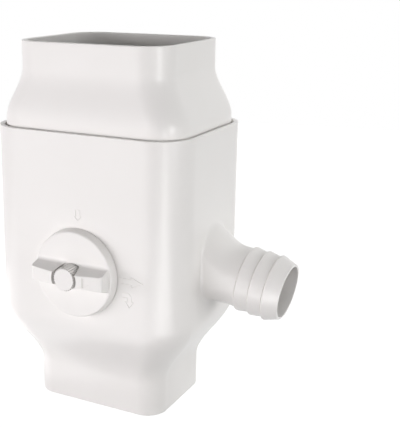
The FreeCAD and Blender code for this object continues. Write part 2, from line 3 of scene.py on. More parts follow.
import bmesh
import bpy
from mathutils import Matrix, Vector


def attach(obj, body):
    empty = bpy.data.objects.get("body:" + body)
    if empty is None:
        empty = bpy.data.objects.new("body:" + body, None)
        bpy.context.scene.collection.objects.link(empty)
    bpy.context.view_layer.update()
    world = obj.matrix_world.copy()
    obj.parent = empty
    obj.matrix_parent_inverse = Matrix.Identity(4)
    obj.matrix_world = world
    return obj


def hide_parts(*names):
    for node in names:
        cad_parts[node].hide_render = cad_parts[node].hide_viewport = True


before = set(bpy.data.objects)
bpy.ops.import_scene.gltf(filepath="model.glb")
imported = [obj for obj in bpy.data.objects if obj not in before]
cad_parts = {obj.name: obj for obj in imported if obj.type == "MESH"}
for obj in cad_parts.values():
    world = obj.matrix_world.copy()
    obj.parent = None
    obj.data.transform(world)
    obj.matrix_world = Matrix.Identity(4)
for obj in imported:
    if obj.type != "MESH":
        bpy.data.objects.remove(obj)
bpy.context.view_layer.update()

# Body: the tub that hangs in the downpipe, with a tapered spigot below and a straight chamber above.
# One injection moulding in white PVC-U, the wall an even 3 mm, open at both ends.
# The collar drops into its upper rim, and its spigot goes into the downpipe below.
MM = 0.001
SEAM = 0.001 * MM


def add_node(tree, kind, feeds=None, **settings):
    """Add a node, set its options, and feed its inputs from values, sockets or other nodes."""
    node = tree.nodes.new(kind)
    for option, choice in settings.items():
        setattr(node, option, choice)
    for socket, feed in (feeds or {}).items():
        if isinstance(feed, bpy.types.Node):
            feed = feed.outputs[0]
        if isinstance(feed, bpy.types.NodeSocket):
            tree.links.new(feed, node.inputs[socket])
        else:
            node.inputs[socket].default_value = feed
    return node


def linear(hex_colour):
    """An sRGB hex colour as linear red, green, blue and alpha."""
    parts = [int(hex_colour[i:i + 2], 16) / 255 for i in (1, 3, 5)]
    return [p / 12.92 if p <= 0.04045 else ((p + 0.055) / 1.055) ** 2.4 for p in parts] + [1.0]


def moulded_plastic(name, pale, deep, roughness, spread, ior, cloud_mm, peel_mm, peel_depth_mm):
    """A moulded plastic: slow clouds in tone and gloss from the melt's flow, and a fine orange peel."""
    material = bpy.data.materials.new(name)
    material.use_nodes = True
    tree = material.node_tree
    tree.nodes.clear()
    place = add_node(tree, "ShaderNodeTexCoord").outputs["Object"]
    clouds = add_node(tree, "ShaderNodeTexNoise", {
        "Vector": place, "Scale": 1 / (cloud_mm * MM), "Detail": 3.0,
    })
    # Sockets 6 and 7 are the mix's two colours
    tone = add_node(tree, "ShaderNodeMix", {0: clouds, 6: linear(pale), 7: linear(deep)}, data_type="RGBA")
    gloss = add_node(tree, "ShaderNodeMapRange", {
        "Value": clouds, "To Min": roughness - spread, "To Max": roughness + spread,
    })
    peel = add_node(tree, "ShaderNodeTexNoise", {
        "Vector": place, "Scale": 1 / (peel_mm * MM), "Detail": 2.0,
    })
    ripple = add_node(tree, "ShaderNodeBump", {
        "Height": peel, "Distance": peel_depth_mm * MM, "Strength": 1.0,
    })
    skin = add_node(tree, "ShaderNodeBsdfPrincipled", {
        "Base Color": tone.outputs[2], "Roughness": gloss, "Normal": ripple, "IOR": ior,
    })
    add_node(tree, "ShaderNodeOutputMaterial", {"Surface": skin})
    return material


# PVC-U from a polished mould: a slightly warm white with a satin gloss and a faint ripple.
# The real peel is about a millimetre across, and is drawn coarser so that it shows.
white_pvc = moulded_plastic(
    "white_pvc_u_moulded_satin", pale="#F1EFED", deep="#EDEBE8", roughness=0.32, spread=0.03, ior=1.54,
    cloud_mm=45, peel_mm=2.5, peel_depth_mm=0.004,
)


def start_tree(name, size_names, made, follows=None):
    """A node tree with named inputs for its sizes and plastic: the tree, its sockets' ids and its inputs."""
    tree = bpy.data.node_groups.new(name, "GeometryNodeTree")
    if follows:
        tree.interface.new_socket(follows, in_out="INPUT", socket_type="NodeSocketGeometry")
    kinds = {size: "NodeSocketFloat" for size in size_names}
    kinds["plastic"] = "NodeSocketMaterial"
    socket_ids = {}
    for label, kind in kinds.items():
        socket_ids[label] = tree.interface.new_socket(label, in_out="INPUT", socket_type=kind).identifier
    tree.interface.new_socket(made, in_out="OUTPUT", socket_type="NodeSocketGeometry")
    return tree, socket_ids, add_node(tree, "NodeGroupInput").outputs


def end_tree(tree, geometry, plastic):
    """Make the copies real, give them their plastic and hand them out."""
    real = add_node(tree, "GeometryNodeRealizeInstances", {"Geometry": geometry})
    dressed = add_node(tree, "GeometryNodeSetMaterial", {"Geometry": real, "Material": plastic})
    add_node(tree, "NodeGroupOutput", {0: dressed})


WALL_ROWS = 96
RIM_ROWS = 12
CORNER_STEPS = 14
SQUARED_OFF = 0.5
MATH = "ShaderNodeMath"
RANGE = "ShaderNodeMapRange"
shell_tree, shell_sockets, sizes = start_tree("moulded_shell", (
    "low_width", "low_depth", "low_corner", "high_width", "high_depth", "high_corner",
    "bottom", "bend_start", "bend_end", "top", "wall", "inner_lift", "rim_round",
), "shell")

# The wall is one sheet: up the outside, over the rim, down the inside and under, all round the section
rows = 2 * (WALL_ROWS + RIM_ROWS) + 1
columns = 4 * (CORNER_STEPS + 1) + 1
sheet = add_node(shell_tree, "GeometryNodeMeshGrid", {"Vertices X": columns, "Vertices Y": rows})
index = add_node(shell_tree, "GeometryNodeInputIndex")
row = add_node(shell_tree, MATH, {0: index, 1: rows}, operation="MODULO")
column = add_node(shell_tree, MATH, {0: index, 1: rows}, operation="DIVIDE")
column = add_node(shell_tree, MATH, {0: column}, operation="FLOOR")
shares = []
first_row = 0
for count in (WALL_ROWS, RIM_ROWS, WALL_ROWS, RIM_ROWS):
    shares.append(add_node(shell_tree, RANGE, {
        "Value": row, "From Min": first_row, "From Max": first_row + count,
    }))
    first_row += count
up_share, over_share, down_share, under_share = shares

# Each rim is a squared-off half round: how far across the wall, and how far it bulges
across = []
bulges = []
for share in (over_share, under_share):
    angle = add_node(shell_tree, MATH, {0: share, 1: math.pi}, operation="MULTIPLY")
    cosine = add_node(shell_tree, MATH, {0: angle}, operation="COSINE")
    side = add_node(shell_tree, MATH, {0: cosine}, operation="SIGN")
    size = add_node(shell_tree, MATH, {0: cosine}, operation="ABSOLUTE")
    size = add_node(shell_tree, MATH, {0: size, 1: SQUARED_OFF}, operation="POWER")
    squared = add_node(shell_tree, MATH, {0: side, 1: size}, operation="MULTIPLY")
    across.append(add_node(shell_tree, RANGE, {"Value": squared, "From Min": 1.0, "From Max": -1.0}))
    sine = add_node(shell_tree, MATH, {0: angle}, operation="SINE")
    sine = add_node(shell_tree, MATH, {0: sine, 1: 0.0}, operation="MAXIMUM")
    bulges.append(add_node(shell_tree, MATH, {0: sine, 1: SQUARED_OFF}, operation="POWER"))
inward = add_node(shell_tree, MATH, {0: across[0], 1: across[1]}, operation="SUBTRACT")
bulge = add_node(shell_tree, MATH, {0: bulges[0], 1: bulges[1]}, operation="SUBTRACT")
climb = add_node(shell_tree, MATH, {0: up_share, 1: down_share}, operation="SUBTRACT")
foot = add_node(shell_tree, MATH, {0: sizes["bottom"], 1: sizes["rim_round"]}, operation="ADD")
head = add_node(shell_tree, MATH, {0: sizes["top"], 1: sizes["rim_round"]}, operation="SUBTRACT")
height = add_node(shell_tree, RANGE, {"Value": climb, "To Min": foot, "To Max": head})
height = add_node(shell_tree, MATH, {0: bulge, 1: sizes["rim_round"], 2: height}, operation="MULTIPLY_ADD")

# The section swells from the low to the high one along a smooth S
lifted = add_node(shell_tree, MATH, {0: inward, 1: sizes["inner_lift"]}, operation="MULTIPLY")
level = add_node(shell_tree, MATH, {0: height, 1: lifted}, operation="SUBTRACT")
bend = add_node(shell_tree, RANGE, {
    "Value": level, "From Min": sizes["bend_start"], "From Max": sizes["bend_end"],
}, interpolation_type="SMOOTHSTEP")
inset = add_node(shell_tree, MATH, {0: inward, 1: sizes["wall"]}, operation="MULTIPLY")
section = {}
for measure, share_of_size in (("width", 0.5), ("depth", 0.5), ("corner", 1.0)):
    size = add_node(shell_tree, RANGE, {
        "Value": bend, "To Min": sizes["low_" + measure], "To Max": sizes["high_" + measure],
    })
    size = add_node(shell_tree, MATH, {0: size, 1: share_of_size}, operation="MULTIPLY")
    section[measure] = add_node(shell_tree, MATH, {0: size, 1: inset}, operation="SUBTRACT")

# Columns go round the four corner arcs, with the flat walls between them
quarter = add_node(shell_tree, MATH, {0: column, 1: CORNER_STEPS + 1}, operation="DIVIDE")
quarter = add_node(shell_tree, MATH, {0: quarter}, operation="FLOOR")
step = add_node(shell_tree, MATH, {0: column, 1: CORNER_STEPS + 1}, operation="MODULO")
turn = add_node(shell_tree, MATH, {0: step, 1: 1 / CORNER_STEPS, 2: quarter}, operation="MULTIPLY_ADD")
turn = add_node(shell_tree, MATH, {0: turn, 1: math.pi / 2}, operation="MULTIPLY")
middle = add_node(shell_tree, MATH, {0: quarter, 1: math.pi / 2, 2: math.pi / 4}, operation="MULTIPLY_ADD")
places = []
for measure, operation in (("width", "COSINE"), ("depth", "SINE")):
    side = add_node(shell_tree, MATH, {0: middle}, operation=operation)
    side = add_node(shell_tree, MATH, {0: side}, operation="SIGN")
    corner = section["corner"]
    centre = add_node(shell_tree, MATH, {0: section[measure], 1: corner}, operation="SUBTRACT")
    centre = add_node(shell_tree, MATH, {0: side, 1: centre}, operation="MULTIPLY")
    swing = add_node(shell_tree, MATH, {0: turn}, operation=operation)
    places.append(add_node(shell_tree, MATH, {0: corner, 1: swing, 2: centre}, operation="MULTIPLY_ADD"))
point = add_node(shell_tree, "ShaderNodeCombineXYZ", {"X": places[0], "Y": places[1], "Z": height})
wall_sheet = add_node(shell_tree, "GeometryNodeSetPosition", {"Geometry": sheet, "Position": point})
closed = add_node(shell_tree, "GeometryNodeMergeByDistance", {"Geometry": wall_sheet, "Distance": SEAM})
smooth = add_node(shell_tree, "GeometryNodeSetShadeSmooth", {"Geometry": closed})
end_tree(shell_tree, smooth, sizes["plastic"])


def new_piece(name, data=None):
    """An object at the origin, linked into the scene, with an empty mesh unless it is given its data."""
    piece = bpy.data.objects.new(name, data or bpy.data.meshes.new(name))
    bpy.context.scene.collection.objects.link(piece)
    return piece


def plain_mesh(piece):
    """The evaluated piece as a plain mesh, with its modifiers removed."""
    evaluated = piece.evaluated_get(bpy.context.evaluated_depsgraph_get())
    mesh = bpy.data.meshes.new_from_object(evaluated)
    piece.modifiers.clear()
    return mesh


def face_outwards(mesh):
    """Close the seams and turn every face outwards."""
    shape = bmesh.new()
    shape.from_mesh(mesh)
    bmesh.ops.remove_doubles(shape, verts=shape.verts, dist=SEAM)
    bmesh.ops.recalc_face_normals(shape, faces=shape.faces)
    shape.to_mesh(mesh)
    shape.free()


def grown_mesh(carrier, tree, socket_ids, plastic, **lengths):
    """The closed mesh that a node tree makes on an object, from lengths in millimetres."""
    modifier = carrier.modifiers.new(tree.name, "NODES")
    modifier.node_group = tree
    for size, length in lengths.items():
        modifier[socket_ids[size]] = length * MM
    modifier[socket_ids["plastic"]] = plastic
    mesh = plain_mesh(carrier)
    face_outwards(mesh)
    return mesh


def finish_shading(piece, sharp_degrees=40):
    """Smooth shading that keeps real edges, with the large faces ruling so that flat walls stay flat."""
    piece.data.shade_smooth()
    piece.data.set_sharp_from_angle(angle=math.radians(sharp_degrees))
    weighted = piece.modifiers.new("flat_walls", "WEIGHTED_NORMAL")
    weighted.keep_sharp = True
    weighted.weight = 100
    piece.data = plain_mesh(piece)


def moulded_shell(name, plastic, **shell_sizes):
    """A walled tube between two rounded rectangles, with sizes in millimetres."""
    piece = new_piece(name)
    piece.data = grown_mesh(piece, shell_tree, shell_sockets, plastic, **shell_sizes)
    return piece


def rings_to_mesh(name, rings, closed):
    """Skin a row of point rings in millimetres, joined end to end or capped."""
    shape = bmesh.new()
    made = [[shape.verts.new(Vector(place) * MM) for place in ring] for ring in rings]
    count = len(rings[0])
    pairs = list(zip(made, made[1:]))
    if closed:
        pairs.append((made[-1], made[0]))
    else:
        shape.faces.new(made[0])
        shape.faces.new(made[-1])
    for low, high in pairs:
        for i in range(count):
            j = (i + 1) % count
            shape.faces.new((low[i], low[j], high[j], high[i]))
    mesh = bpy.data.meshes.new(name)
    shape.to_mesh(mesh)
    shape.free()
    face_outwards(mesh)
    return mesh


def turned_rings(start, axis, outline, count):
    """Rings about an axis, one for each place along it and radius, in millimetres."""
    out = axis.orthogonal().normalized()
    up = axis.cross(out)
    rings = []
    for along, radius in outline:
        ring = []
        for i in range(count):
            turn = 2 * math.pi * i / count
            ring.append(start + axis * along + (out * math.cos(turn) + up * math.sin(turn)) * radius)
        rings.append(ring)
    return rings


def cut_away(piece, cutter_mesh):
    """Cut one mesh out of a piece."""
    cutter = new_piece("cutter", cutter_mesh)
    cutting = piece.modifiers.new("cut", "BOOLEAN")
    cutting.operation = "DIFFERENCE"
    cutting.solver = "EXACT"
    cutting.object = cutter
    piece.data = plain_mesh(piece)
    bpy.data.objects.remove(cutter)


# Sizes in millimetres, with the side, the front and the heights measured from the spigot's middle
BODY_SIDE = 69.5
BODY_FRONT = 54.0
WALL = 3.0
RIM_ROUND = 0.8
AXIS_HEIGHT = 100.0
JOURNAL_BORE = 8.2
BARB_HEIGHT = 98.7
BARB_TILT = math.radians(9.3)
BARB_HOLE = 18.0
barb_start = Vector((BODY_SIDE, 0, BARB_HEIGHT))
barb_axis = Vector((math.cos(BARB_TILT), 0, -math.sin(BARB_TILT)))
spindle_start = Vector((0, -BODY_FRONT, AXIS_HEIGHT))
front_axis = Vector((0, -1, 0))
body_shell = moulded_shell(
    "body_shell", white_pvc, low_width=95, low_depth=73, low_corner=14.5,
    high_width=2 * BODY_SIDE, high_depth=2 * BODY_FRONT, high_corner=24.5,
    bottom=0, bend_start=22.5, bend_end=67, top=188.3, wall=WALL, inner_lift=1, rim_round=RIM_ROUND,
)

# Each hole: its middle on the wall, its axis, how far in and out it is cut, its radius and its sides
for name, start, axis, inside, outside, radius, sides in (
    ("barb_hole", barb_start, barb_axis, -9, 6, BARB_HOLE, 96),
    ("spindle_hole", spindle_start, front_axis, -5, 2, JOURNAL_BORE, 72),
):
    hole = turned_rings(start, axis, [(inside, radius), (outside, radius)], sides)
    cut_away(body_shell, rings_to_mesh(name, hole, closed=False))
finish_shading(body_shell)
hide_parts("body")
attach(body_shell, "housing")

# Side barb: a flared stub for the diverted water, moulded on the side wall and leaning down to drain.
# Three saw teeth grip what is pushed over it, and the bore runs straight through to the chamber.
# It is one moulding with the body, so it has the same plastic and no joint line.

# The flare stands on the wall as an upright oval, whose halves part at its sides over a short slope
FLARE_LENGTH = 13.0
FLARE_HALF_WIDTH = 20.3
FLARE_HALF_HEIGHT = 25.2
FLARE_RISE = 4.0
FLARE_SIDE_SLOPE = 4
FOOT_BLEND = 2.2
FOOT_SUNK = 0.05
HIDDEN_ROOT = 19.0

# Radii of the neck, teeth and bore, and places along the barb from the wall
NECK = 19.7
NECK_BLEND = 5.0
NECK_LAND = 2.0
CREST = 21.25
VALLEY = 19.95
TIP = 18.1
BORE = 16.5
REACH = 51.5
MOUTH_LAND = 2.0
TOOTH_STEPS = (23.9, 32.9, 41.9)
TOOTH_LAND = 1.0
TOOTH_ROUND = 0.15

# A small groove at the foot of each tooth draws the dark line round it
ROOT_GROOVE_WIDTH = 0.9
ROOT_GROOVE_FLOOR = 0.63
ROOT_GROOVE_DEPTH = 0.5

# Points round the barb, and how far a surface stands proud of the one that it lies on
BARB_TURNS = 128
HAIR = 0.02

# A rounded corner has this many steps, and takes at most this share of the line on each side
ROUND_STEPS = 6
LONGEST_ROUND = 0.45


def eased(outline, *radii):
    """Round the corners of an open outline with short curves, each by its own radius or all by one."""
    points = [Vector(place) for place in outline]
    radii = radii if len(radii) > 1 else radii * (len(points) - 2)
    result = [points[0]]
    for before, corner, after, radius in zip(points, points[1:], points[2:], radii):
        back = before - corner
        on = after - corner
        start = corner + back.normalized() * min(radius, back.length * LONGEST_ROUND)
        end = corner + on.normalized() * min(radius, on.length * LONGEST_ROUND)
        for i in range(ROUND_STEPS + 1):
            t = i / ROUND_STEPS
            result.append(start * (1 - t) ** 2 + corner * 2 * t * (1 - t) + end * t ** 2)
    result.append(points[-1])
    return result


def barb_point(turn, along, radius):
    """A point round the barb, turn 0 at the rear and a quarter turn at the top."""
    over = Vector((math.sin(BARB_TILT), 0, math.cos(BARB_TILT)))
    out = Vector((0, 1, 0)) * math.cos(turn) + over * math.sin(turn)
    return barb_start + barb_axis * along + out * radius


def inside_wall(turn, radius):
    """A point round the barb on the inside of the wall, a hair proud of it."""
    depth = -WALL - HAIR
    along = (depth - radius * math.sin(turn) * math.sin(BARB_TILT)) / math.cos(BARB_TILT)
    return barb_point(turn, along, radius)


def flare_line(turn):
    """One line of the flare: out of the wall round an upright oval, up its slope and onto the neck."""
    out = Vector((0, math.cos(turn), math.sin(turn)))
    half_of_oval = max(-1, min(1, FLARE_SIDE_SLOPE * math.sin(turn)))
    stretch = (FLARE_HALF_HEIGHT - FLARE_HALF_WIDTH) * half_of_oval
    root = Vector((BODY_SIDE, 0, BARB_HEIGHT + FLARE_RISE + stretch)) + out * FLARE_HALF_WIDTH
    on_wall = root + out * 2 * FOOT_BLEND - Vector((FOOT_SUNK, 0, 0))
    neck = barb_point(turn, FLARE_LENGTH, NECK)
    past = barb_point(turn, FLARE_LENGTH + NECK_BLEND + NECK_LAND, NECK)
    return eased([on_wall, root, neck, past], FOOT_BLEND, NECK_BLEND)


turns = [2 * math.pi * i / BARB_TURNS for i in range(BARB_TURNS)]
barb_rings = [[inside_wall(turn, HIDDEN_ROOT) for turn in turns]]
barb_rings += [list(ring) for ring in zip(*[flare_line(turn) for turn in turns])]
outline = [(FLARE_LENGTH + NECK_BLEND + 1.5 * NECK_LAND, NECK)]
floor_radius = NECK
for step in TOOTH_STEPS:
    groove = floor_radius - ROOT_GROOVE_DEPTH
    outline += [(step - ROOT_GROOVE_WIDTH, floor_radius), (step - ROOT_GROOVE_FLOOR, groove), (step, groove)]
    outline += [(step, CREST), (step + TOOTH_LAND, CREST)]
    floor_radius = VALLEY
outline += [(REACH, TIP), (REACH, BORE), (REACH - MOUTH_LAND, BORE)]
for along, radius in eased(outline, TOOTH_ROUND):
    barb_rings.append([barb_point(turn, along, radius) for turn in turns])
barb_rings.append([inside_wall(turn, BORE) for turn in turns])
hose_barb = new_piece("hose_barb", rings_to_mesh("hose_barb", barb_rings, closed=True))
hose_barb.data.materials.append(white_pvc)
finish_shading(hose_barb)
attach(hose_barb, "housing")

# Bearing bosses: two short collars inside the front and rear walls, of one moulding with the body in PVC-U.
# The spindle's sealed journal turns in the front one and its pivot in the rear one.
PIVOT_BORE = 4.4
BOSS_WALL = 4.0
BOSS_LENGTH = 4.0
BOSS_SUNK = 0.5
BOSS_ROUND = 0.4
BOSS_SIDES = 64

# The last ring of a closed outline stops this far short of the first
CLOSING_GAP = 0.1
wall_inside = BODY_FRONT - WALL
for name, wall_place, axis, bore in (
    ("front_boss", -wall_inside, Vector((0, 1, 0)), JOURNAL_BORE),
    ("rear_boss", wall_inside, Vector((0, -1, 0)), PIVOT_BORE),
):
    start = Vector((0, wall_place, AXIS_HEIGHT))
    outside = bore + BOSS_WALL
    outline = eased([
        (-BOSS_SUNK, bore), (-BOSS_SUNK, outside), (BOSS_LENGTH, outside), (BOSS_LENGTH, bore),
        (CLOSING_GAP - BOSS_SUNK, bore),
    ], BOSS_ROUND)
    boss_rings = turned_rings(start, axis, outline, BOSS_SIDES)
    boss = new_piece(name, rings_to_mesh(name, boss_rings, closed=True))
    boss.data.materials.append(white_pvc)
    finish_shading(boss)
    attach(boss, "housing")

# Seat ribs: four upright ribs near the corners, moulded on the front and rear walls in the body's PVC-U.
# The collar's skirt rests on their upper ends.
RIB_WIDTH = 3.0
RIB_DEPTH = 4.5
RIB_STAND = 4.0
RIB_HEIGHT = 98.0
RIB_FOOT = 62.0
RIB_SPREAD = 100.0
rib_tree, rib_sockets, sizes = start_tree(
    "seat_ribs", ("width", "depth", "height", "foot", "spread", "apart"), "ribs",
)
rib_box = add_node(rib_tree, "ShaderNodeCombineXYZ", {
    "X": sizes["width"], "Y": sizes["depth"], "Z": sizes["height"],
})
rib = add_node(rib_tree, "GeometryNodeMeshCube", {"Size": rib_box})
corners = add_node(rib_tree, "GeometryNodeMeshGrid", {
    "Size X": sizes["spread"], "Size Y": sizes["apart"], "Vertices X": 2, "Vertices Y": 2,
})
half_way = add_node(rib_tree, MATH, {0: sizes["height"], 1: 0.5, 2: sizes["foot"]}, operation="MULTIPLY_ADD")
raised = add_node(rib_tree, "ShaderNodeCombineXYZ", {"Z": half_way})
seats = add_node(rib_tree, "GeometryNodeSetPosition", {"Geometry": corners, "Offset": raised})
copies = add_node(rib_tree, "GeometryNodeInstanceOnPoints", {"Points": seats, "Instance": rib})
end_tree(rib_tree, copies, sizes["plastic"])
rib_middle = wall_inside - RIB_STAND + RIB_DEPTH / 2
seat_ribs = new_piece("seat_ribs")
seat_ribs.data = grown_mesh(
    seat_ribs, rib_tree, rib_sockets, white_pvc, width=RIB_WIDTH, depth=RIB_DEPTH, height=RIB_HEIGHT,
    foot=RIB_FOOT, spread=RIB_SPREAD, apart=2 * rib_middle,
)
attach(seat_ribs, "housing")

# Inlet collar: the upper socket, which takes the end of the downpipe and swells to a skirt below.
# A second PVC-U moulding that drops loosely into the body's rim, with a dark gap all round.
inlet_collar = moulded_shell(
    "collar_shell", white_pvc, low_width=130, low_depth=99, low_corner=20,
    high_width=108, high_depth=91, high_corner=19.5,
    bottom=160, bend_start=192.6, bend_end=224.6, top=242, wall=WALL, inner_lift=-0.75, rim_round=RIM_ROUND,
)
finish_shading(inlet_collar)
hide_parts("inlet_collar")
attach(inlet_collar, "housing")

# Spindle: the shaft through both walls, moulded in acetal with a splined end that drives the knob.
# Sharp ridges stand on the splines in front of the knob.
# They are a little bolder than the real ones, so that they show.
HUB_RADIUS = 7.3
HUB_BACK = 60.3
HUB_FRONT = 71.3
RIDGE_COUNT = 28
RIDGE_SIDES = 3
RIDGE_SIZE = 0.42

# Acetal from a plain mould: nearly the housing's white, with a duller, waxy sheen
white_acetal = moulded_plastic(
    "white_acetal_moulded_matte", pale="#F2F0EE", deep="#EEECEA", roughness=0.36, spread=0.03, ior=1.48,
    cloud_mm=18, peel_mm=1.5, peel_depth_mm=0.003,
)
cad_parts["spindle"].material_slots[0].material = white_acetal
ridge_tree, ridge_sockets, sizes = start_tree(
    "spline_ridges", ("hub_radius", "ridge_size", "length", "middle", "axis_height"), "ridges",
)
ridge = add_node(ridge_tree, "GeometryNodeMeshCylinder", {
    "Vertices": RIDGE_SIDES, "Radius": sizes["ridge_size"], "Depth": sizes["length"],
})
hub_ring = add_node(ridge_tree, "GeometryNodeMeshCircle", {
    "Vertices": RIDGE_COUNT, "Radius": sizes["hub_radius"],
})
index = add_node(ridge_tree, "GeometryNodeInputIndex")
turn = add_node(ridge_tree, MATH, {0: index, 1: 2 * math.pi / RIDGE_COUNT}, operation="MULTIPLY")
turn = add_node(ridge_tree, "ShaderNodeCombineXYZ", {"Z": turn})
turn = add_node(ridge_tree, "FunctionNodeEulerToRotation", {0: turn})
copies = add_node(ridge_tree, "GeometryNodeInstanceOnPoints", {
    "Points": hub_ring, "Instance": ridge, "Rotation": turn,
})
middle = add_node(ridge_tree, "ShaderNodeCombineXYZ", {"Y": sizes["middle"], "Z": sizes["axis_height"]})
laid = add_node(ridge_tree, "GeometryNodeTransform", {
    "Geometry": copies, "Translation": middle, "Rotation": (math.pi / 2, 0, 0),
})
end_tree(ridge_tree, laid, sizes["plastic"])
spline_ridges = new_piece("spline_ridges")
spline_ridges.data = grown_mesh(
    spline_ridges, ridge_tree, ridge_sockets, white_acetal, hub_radius=HUB_RADIUS, ridge_size=RIDGE_SIZE,
    length=HUB_FRONT - HUB_BACK, middle=-(HUB_BACK + HUB_FRONT) / 2, axis_height=AXIS_HEIGHT,
)
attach(spline_ridges, "valve")

# Flap: the plate on the spindle that turns the water to the barb, moulded in polypropylene.
# Its sleeve slides over the spindle, and two screws hold it there.

# Polypropylene from a fine spark-eroded mould: matte and slightly grey
grey_white_pp = moulded_plastic(
    "grey_white_polypropylene_matte", pale="#E6E6E5", deep="#DFDFDE", roughness=0.55, spread=0.05, ior=1.49,
    cloud_mm=30, peel_mm=1.2, peel_depth_mm=0.008,
)
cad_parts["flap"].material_slots[0].material = grey_white_pp

# Spindle seal: the ring that keeps the water in where the spindle goes through the front wall.
# Moulded in EPDM rubber, and stretched into the groove of the spindle's journal.

# EPDM from a dull mould: black, soft to the eye and almost without gloss
black_epdm = moulded_plastic(
    "black_epdm_moulded_matte", pale="#242424", deep="#1C1C1C", roughness=0.7, spread=0.06, ior=1.5,
    cloud_mm=6, peel_mm=0.8, peel_depth_mm=0.01,
)
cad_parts["spindle_o_ring"].material_slots[0].material = black_epdm

# Flap screws: two hexagon-headed screws, cold-formed in stainless steel.
# They go through the flap's sleeve into the spindle.
FORMING_MARK = 0.6
FORMING_DEPTH = 0.01

# Cold-formed stainless steel: a soft grey reflection, broken up by fine marks of the dies
screw_steel = bpy.data.materials.new("stainless_steel_cold_formed")
screw_steel.use_nodes = True
tree = screw_steel.node_tree
tree.nodes.clear()
place = add_node(tree, "ShaderNodeTexCoord").outputs["Object"]
marks = add_node(tree, "ShaderNodeTexNoise", {
    "Vector": place, "Scale": 1 / (FORMING_MARK * MM), "Detail": 4.0,
})
gloss = add_node(tree, "ShaderNodeMapRange", {"Value": marks, "To Min": 0.22, "To Max": 0.42})
dents = add_node(tree, "ShaderNodeBump", {"Height": marks, "Distance": FORMING_DEPTH * MM, "Strength": 0.6})
metal = add_node(tree, "ShaderNodeBsdfPrincipled", {
    "Base Color": linear("#B9BABB"), "Metallic": 1.0, "Roughness": gloss, "Normal": dents,
})
add_node(tree, "ShaderNodeOutputMaterial", {"Surface": metal})
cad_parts["flap_screws"].material_slots[0].material = screw_steel

# Knob: a round disc with two finger wings, pressed on the splined end of the spindle.
# Moulded in the housing's white PVC-U, with small rounds on every edge.
# A pointer sunk in the right wing shows where the water goes.

# The disc narrows from its base, behind, to the rim of its face
DISC_BACK = 54.4
DISC_FACE = 60.5
DISC_BASE = 29.0
DISC_RIM = 27.8
DISC_ROUNDS = (0.5, 1.2, 0.4)
DISC_SIDES = 128
HUB_HOLE = 7.45

# Each wing leaves a round well about the hub, thins from root to top, and falls away outwards
WELL = 9.0
WELL_STEPS = 12
WING_END = 26.0
WING_REACH = 11.0
WING_ROOT = 7.2
WING_TOP = 4.05
WING_FALL = math.tan(math.radians(8))
WING_ROUND = 2.5
WING_EDGE = 0.5
WING_CORNER = 0.3
ROOT_BLEND = 1.7

# Rings up each wing: depths off the disc's face first, then gaps behind its own front
ROOT_LEVELS = (-0.6, 0, 0.08, 0.2, 0.4, 0.65, 0.95, 1.3, 1.7, 4.2, 6)
FRONT_GAPS = (2.5, 2.1, 1.6, 1.1, 0.7, 0.5, 0.4, 0.3, 0.2, 0.1, 0.04, 0)

# The pointer is a triangle along the wing, and its cutter stands a little proud of the wing's front
POINTER_TAIL = 13.0
POINTER_TIP = 19.0
POINTER_HALF = 3.3
POINTER_DEPTH = 0.8
POINTER_OVERCUT = 0.3

# PVC-U from a polished mould, as the housing, with closer clouds because the moulding is small
knob_pvc = moulded_plastic(
    "white_pvc_u_knob_moulded_satin", pale="#F1EFED", deep="#EDEBE8", roughness=0.32, spread=0.03, ior=1.54,
    cloud_mm=20, peel_mm=2.0, peel_depth_mm=0.004,
)
disc_outline = eased([
    (DISC_BACK, HUB_HOLE), (DISC_BACK, DISC_BASE), (DISC_FACE, DISC_RIM), (DISC_FACE, HUB_HOLE),
    (DISC_BACK + CLOSING_GAP, HUB_HOLE),
], *DISC_ROUNDS)
disc_rings = turned_rings(Vector((0, 0, AXIS_HEIGHT)), front_axis, disc_outline, DISC_SIDES)


def round_in(distance, radius):
    """How far a rounded edge has drawn in at a distance from its end."""
    left = max(radius - distance, 0)
    return radius - math.sqrt(radius ** 2 - left ** 2)


def wing_depth(x):
    """How far a wing's sloping front stands off the disc's face."""
    return WING_REACH - max(abs(x) - WELL, 0) * WING_FALL


def wing_outline(side, depth, gap):
    """One wing's outline at a depth off the disc's face, or at a gap behind its own front."""
    def half_height(x):
        here = wing_depth(x) - gap if depth is None else depth
        to_front = wing_depth(x) - here
        half = WING_ROOT + (WING_TOP - WING_ROOT) * max(here, 0) / WING_REACH
        return here, half + round_in(max(here, 0), ROOT_BLEND) - round_in(to_front, WING_EDGE)

    end = WING_END - (round_in(gap, WING_ROUND) if depth is None else 0)
    inner_half = half_height(WELL)[1]
    inner = math.sqrt(WELL ** 2 - inner_half ** 2)
    corners = eased([(inner, 1), (end, 1), (end, -1), (inner, -1)], WING_CORNER)
    lean = math.asin(inner_half / WELL)
    for i in range(1, WELL_STEPS):
        turn = -lean + 2 * lean * i / WELL_STEPS
        corners.append(Vector((WELL * math.cos(turn), math.sin(turn) * WELL / inner_half)))
    outline = []
    for x, share in corners:
        here, half = half_height(x)
        outline.append(Vector((side * x, -DISC_FACE - here, AXIS_HEIGHT + half * share)))
    return outline


